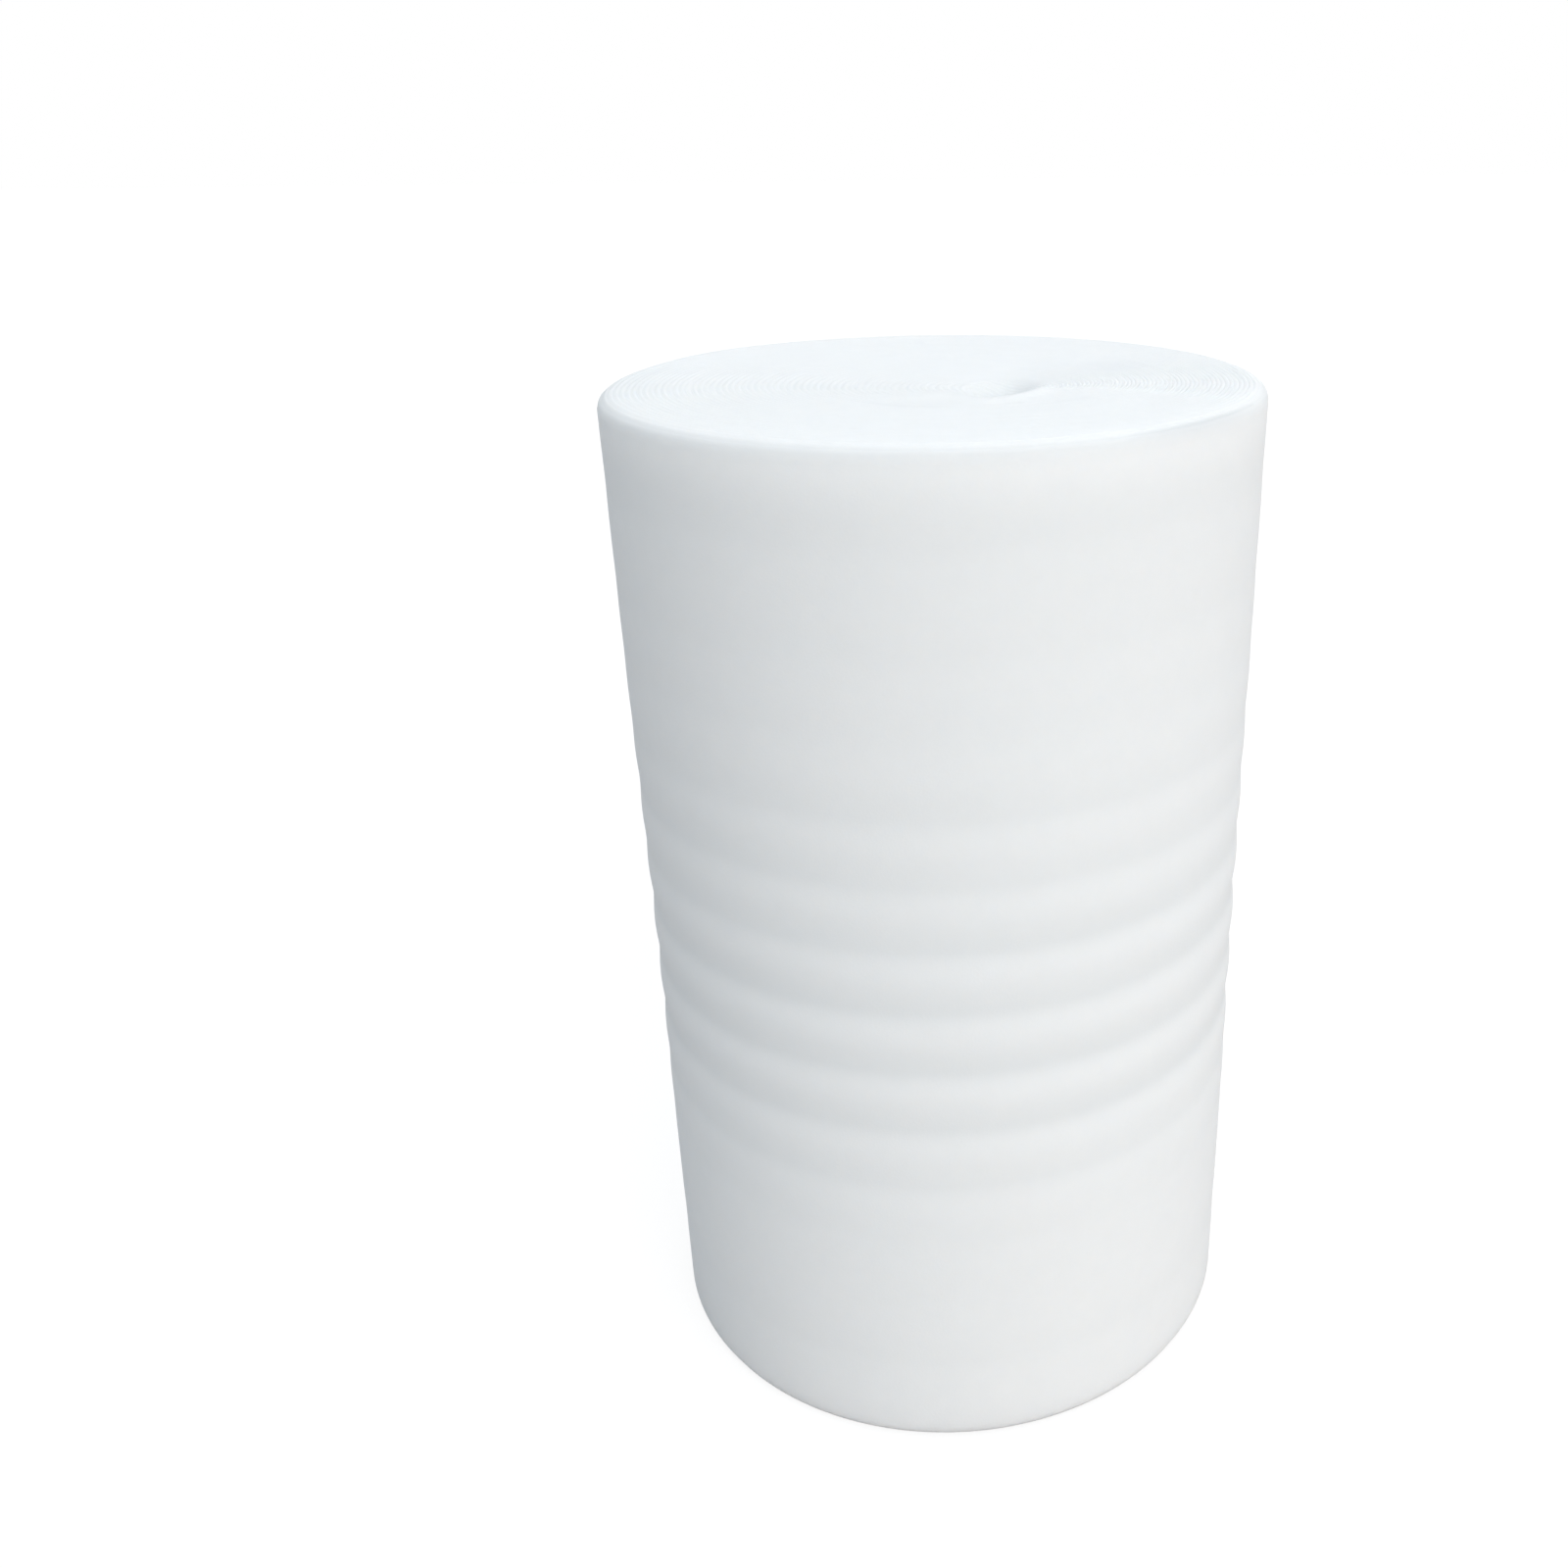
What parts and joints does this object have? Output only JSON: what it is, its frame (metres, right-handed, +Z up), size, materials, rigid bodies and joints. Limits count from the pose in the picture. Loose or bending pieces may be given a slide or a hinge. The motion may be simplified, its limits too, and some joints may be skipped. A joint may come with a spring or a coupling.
{
  "type": "foam wrap roll",
  "caption": "Coreless roll of soft white foam wrap standing on its end, with spiral turn ends, a hollow off-centre eye and soft creases round the waist.",
  "frame": {"origin": "centre of the lower end face, on the surface that the roll stands on", "axes": "+Z up along the roll; -Y faces the picture's camera; +X to its right"},
  "size_m": [0.6099, 0.6136, 1],
  "materials": {
    "foam": "matte, soft, slightly translucent closed-cell polyethylene foam"
  },
  "bodies": {
    "root": {"foam_roll": "foam"}
  },
  "joints": []
}
